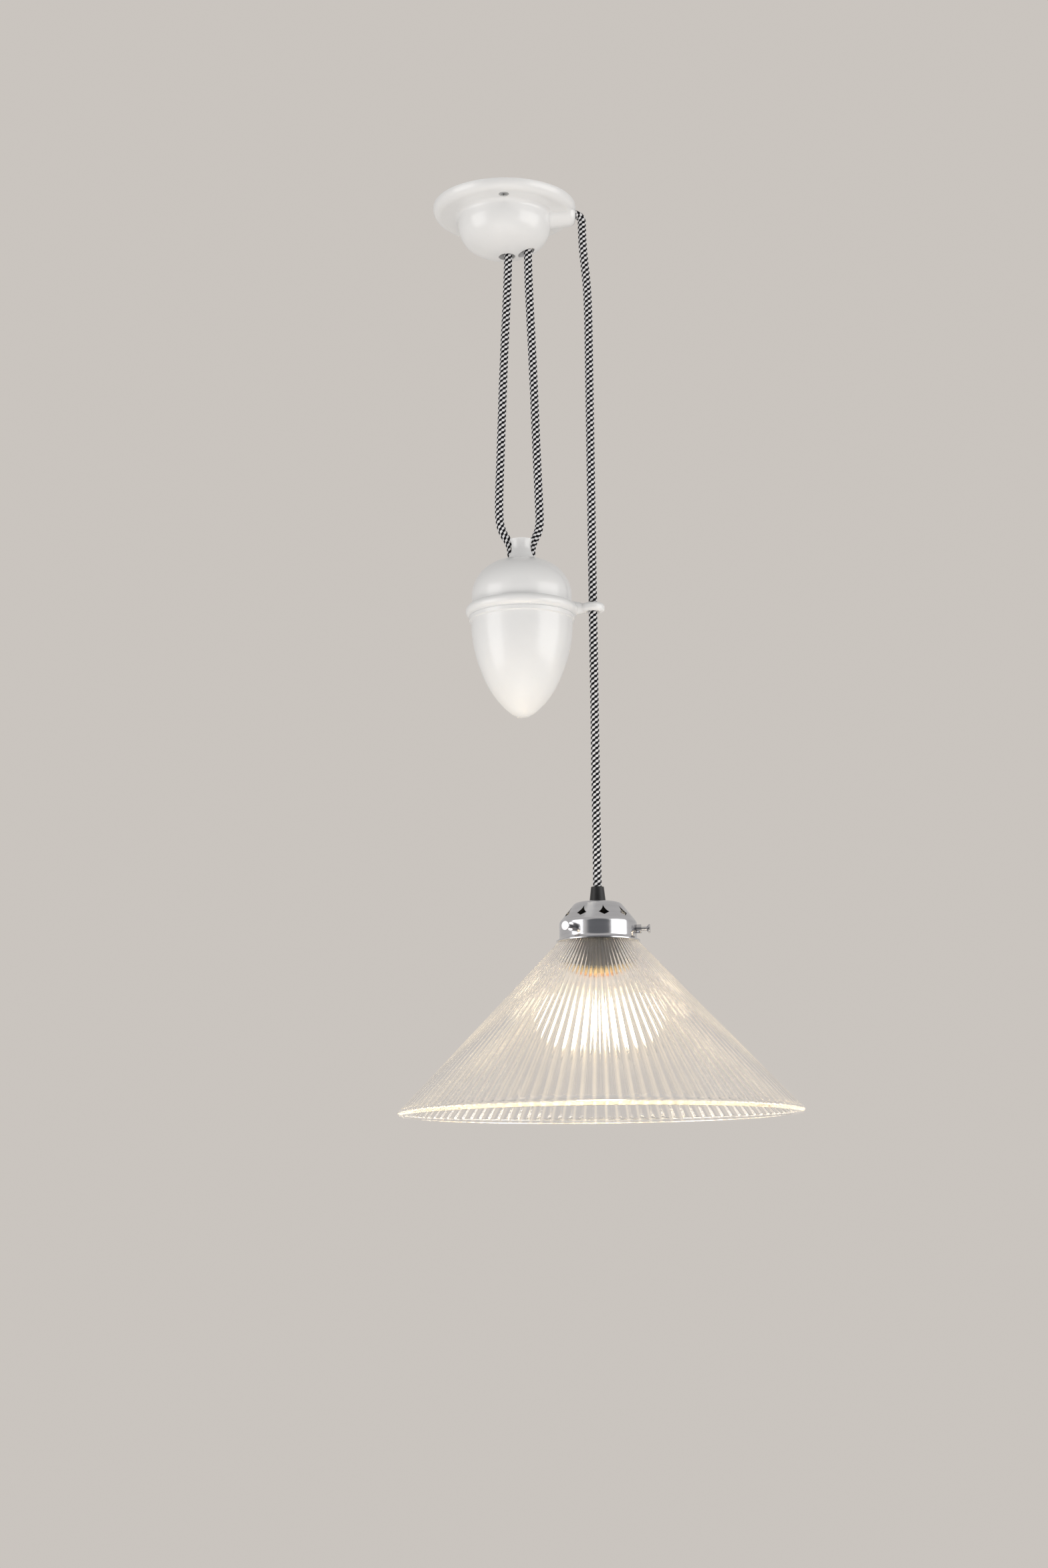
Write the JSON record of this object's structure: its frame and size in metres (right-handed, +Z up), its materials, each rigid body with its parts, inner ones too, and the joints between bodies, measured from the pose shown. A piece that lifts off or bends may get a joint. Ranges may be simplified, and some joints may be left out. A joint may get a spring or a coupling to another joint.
{
  "type": "rise and fall pendant",
  "caption": "Rise and fall pendant light: ceramic ceiling rose, acorn counterweight on a pulley, checked flex, pierced gallery and ribbed glass cone shade.",
  "frame": {"origin": "centre of the rose's back, on the ceiling", "axes": "+Z up into the ceiling; +X from the weight towards the lamp; -Y towards the viewer"},
  "size_m": [0.305, 0.305, 0.7233],
  "materials": {
    "white_glaze": "gloss glaze",
    "plated_steel": "zinc plated",
    "bright_chrome": "polished",
    "spun_aluminium": "polished, spun",
    "pulley_plastic": "moulded nylon",
    "pale_plastic": "moulded",
    "brass": "bright",
    "iron": "as cast",
    "black_plastic": "moulded",
    "plain_ceramic": "unglazed",
    "ribbed_glass": "clear pressed glass",
    "bulb_glass": "clear",
    "filament": "warm glow",
    "braided_flex": "black and white checked braid"
  },
  "bodies": {
    "rose": {"rose_cover": "white_glaze", "mounting_bracket": "plated_steel", "cover_screws": "plated_steel", "rose_pulley_pin": "plated_steel", "pin_clips": "plated_steel", "cord_clamp_back": "pale_plastic", "cord_clamp_front": "pale_plastic", "clamp_screws": "plated_steel", "terminal_block": "pale_plastic", "terminal_screws": "brass", "cord_anchor_strand": "braided_flex", "cord_return_strand": "braided_flex", "cord_rose_run": "braided_flex", "cord_lamp_strand": "braided_flex"},
    "rose_wheel": {"rose_pulley": "pulley_plastic"},
    "weight": {"weight_cap": "white_glaze", "weight_ring": "white_glaze", "weight_acorn": "white_glaze", "iron_core": "iron", "weight_pulley_pin": "plated_steel", "weight_bolt": "plated_steel", "tip_washer": "plated_steel", "tip_nut": "plated_steel", "tip_plug": "white_glaze", "cord_weight_turn": "braided_flex"},
    "weight_wheel": {"weight_pulley": "pulley_plastic"},
    "lamp": {"cord_grip": "black_plastic", "nipple": "brass", "gallery": "spun_aluminium", "screw_bushes": "bright_chrome", "shade": "ribbed_glass", "holder_cap": "black_plastic", "holder_skirt": "black_plastic", "holder_insert": "plain_ceramic", "threaded_shell": "brass", "centre_contact": "brass", "bulb_cap": "brass", "bulb_glass": "bulb_glass", "bulb_stem": "bulb_glass", "filaments": "filament"},
    "screw_1": {"thumb_screw_1": "bright_chrome"},
    "screw_2": {"thumb_screw_2": "bright_chrome"},
    "screw_3": {"thumb_screw_3": "bright_chrome"}
  },
  "joints": [
    {"name": "lamp_drop", "type": "slide", "parent": "rose", "child": "lamp", "axis": [0, 0, -1], "range_m": [-0.12, 0.4], "deforming": ["cord_lamp_strand"]},
    {"name": "weight_rise", "type": "slide", "parent": "rose", "child": "weight", "axis": [0, 0, 1], "range_m": [-0.06, 0.2], "deforming": ["cord_anchor_strand", "cord_return_strand"]},
    {"name": "rose_pulley_spin", "type": "hinge", "parent": "rose", "child": "rose_wheel", "pos_m": [0.02625, 0, -0.01375], "axis": [0, 1, 0], "range_deg": [-887.66, 2957.7]},
    {"name": "weight_pulley_spin", "type": "hinge", "parent": "weight", "child": "weight_wheel", "pos_m": [0.01075, 0, -0.285], "axis": [0, 1, 0], "range_deg": [-1479.1, 444.08]},
    {"name": "thumb_screw_1_travel", "type": "slide", "parent": "lamp", "child": "screw_1", "axis": [-0.6428, -0.766, 0], "range_m": [0, 0.0035]},
    {"name": "thumb_screw_2_travel", "type": "slide", "parent": "lamp", "child": "screw_2", "axis": [0.9848, -0.1736, 0], "range_m": [0, 0.0035]},
    {"name": "thumb_screw_3_travel", "type": "slide", "parent": "lamp", "child": "screw_3", "axis": [-0.342, 0.9397, 0], "range_m": [0, 0.0035]}
  ],
  "couplings": [
    {"joint": "weight_rise", "follows": "lamp_drop", "ratio": 0.5},
    {"joint": "rose_pulley_spin", "follows": "lamp_drop", "rad_per_m": 129.03},
    {"joint": "weight_pulley_spin", "follows": "lamp_drop", "rad_per_m": -64.516}
  ]
}
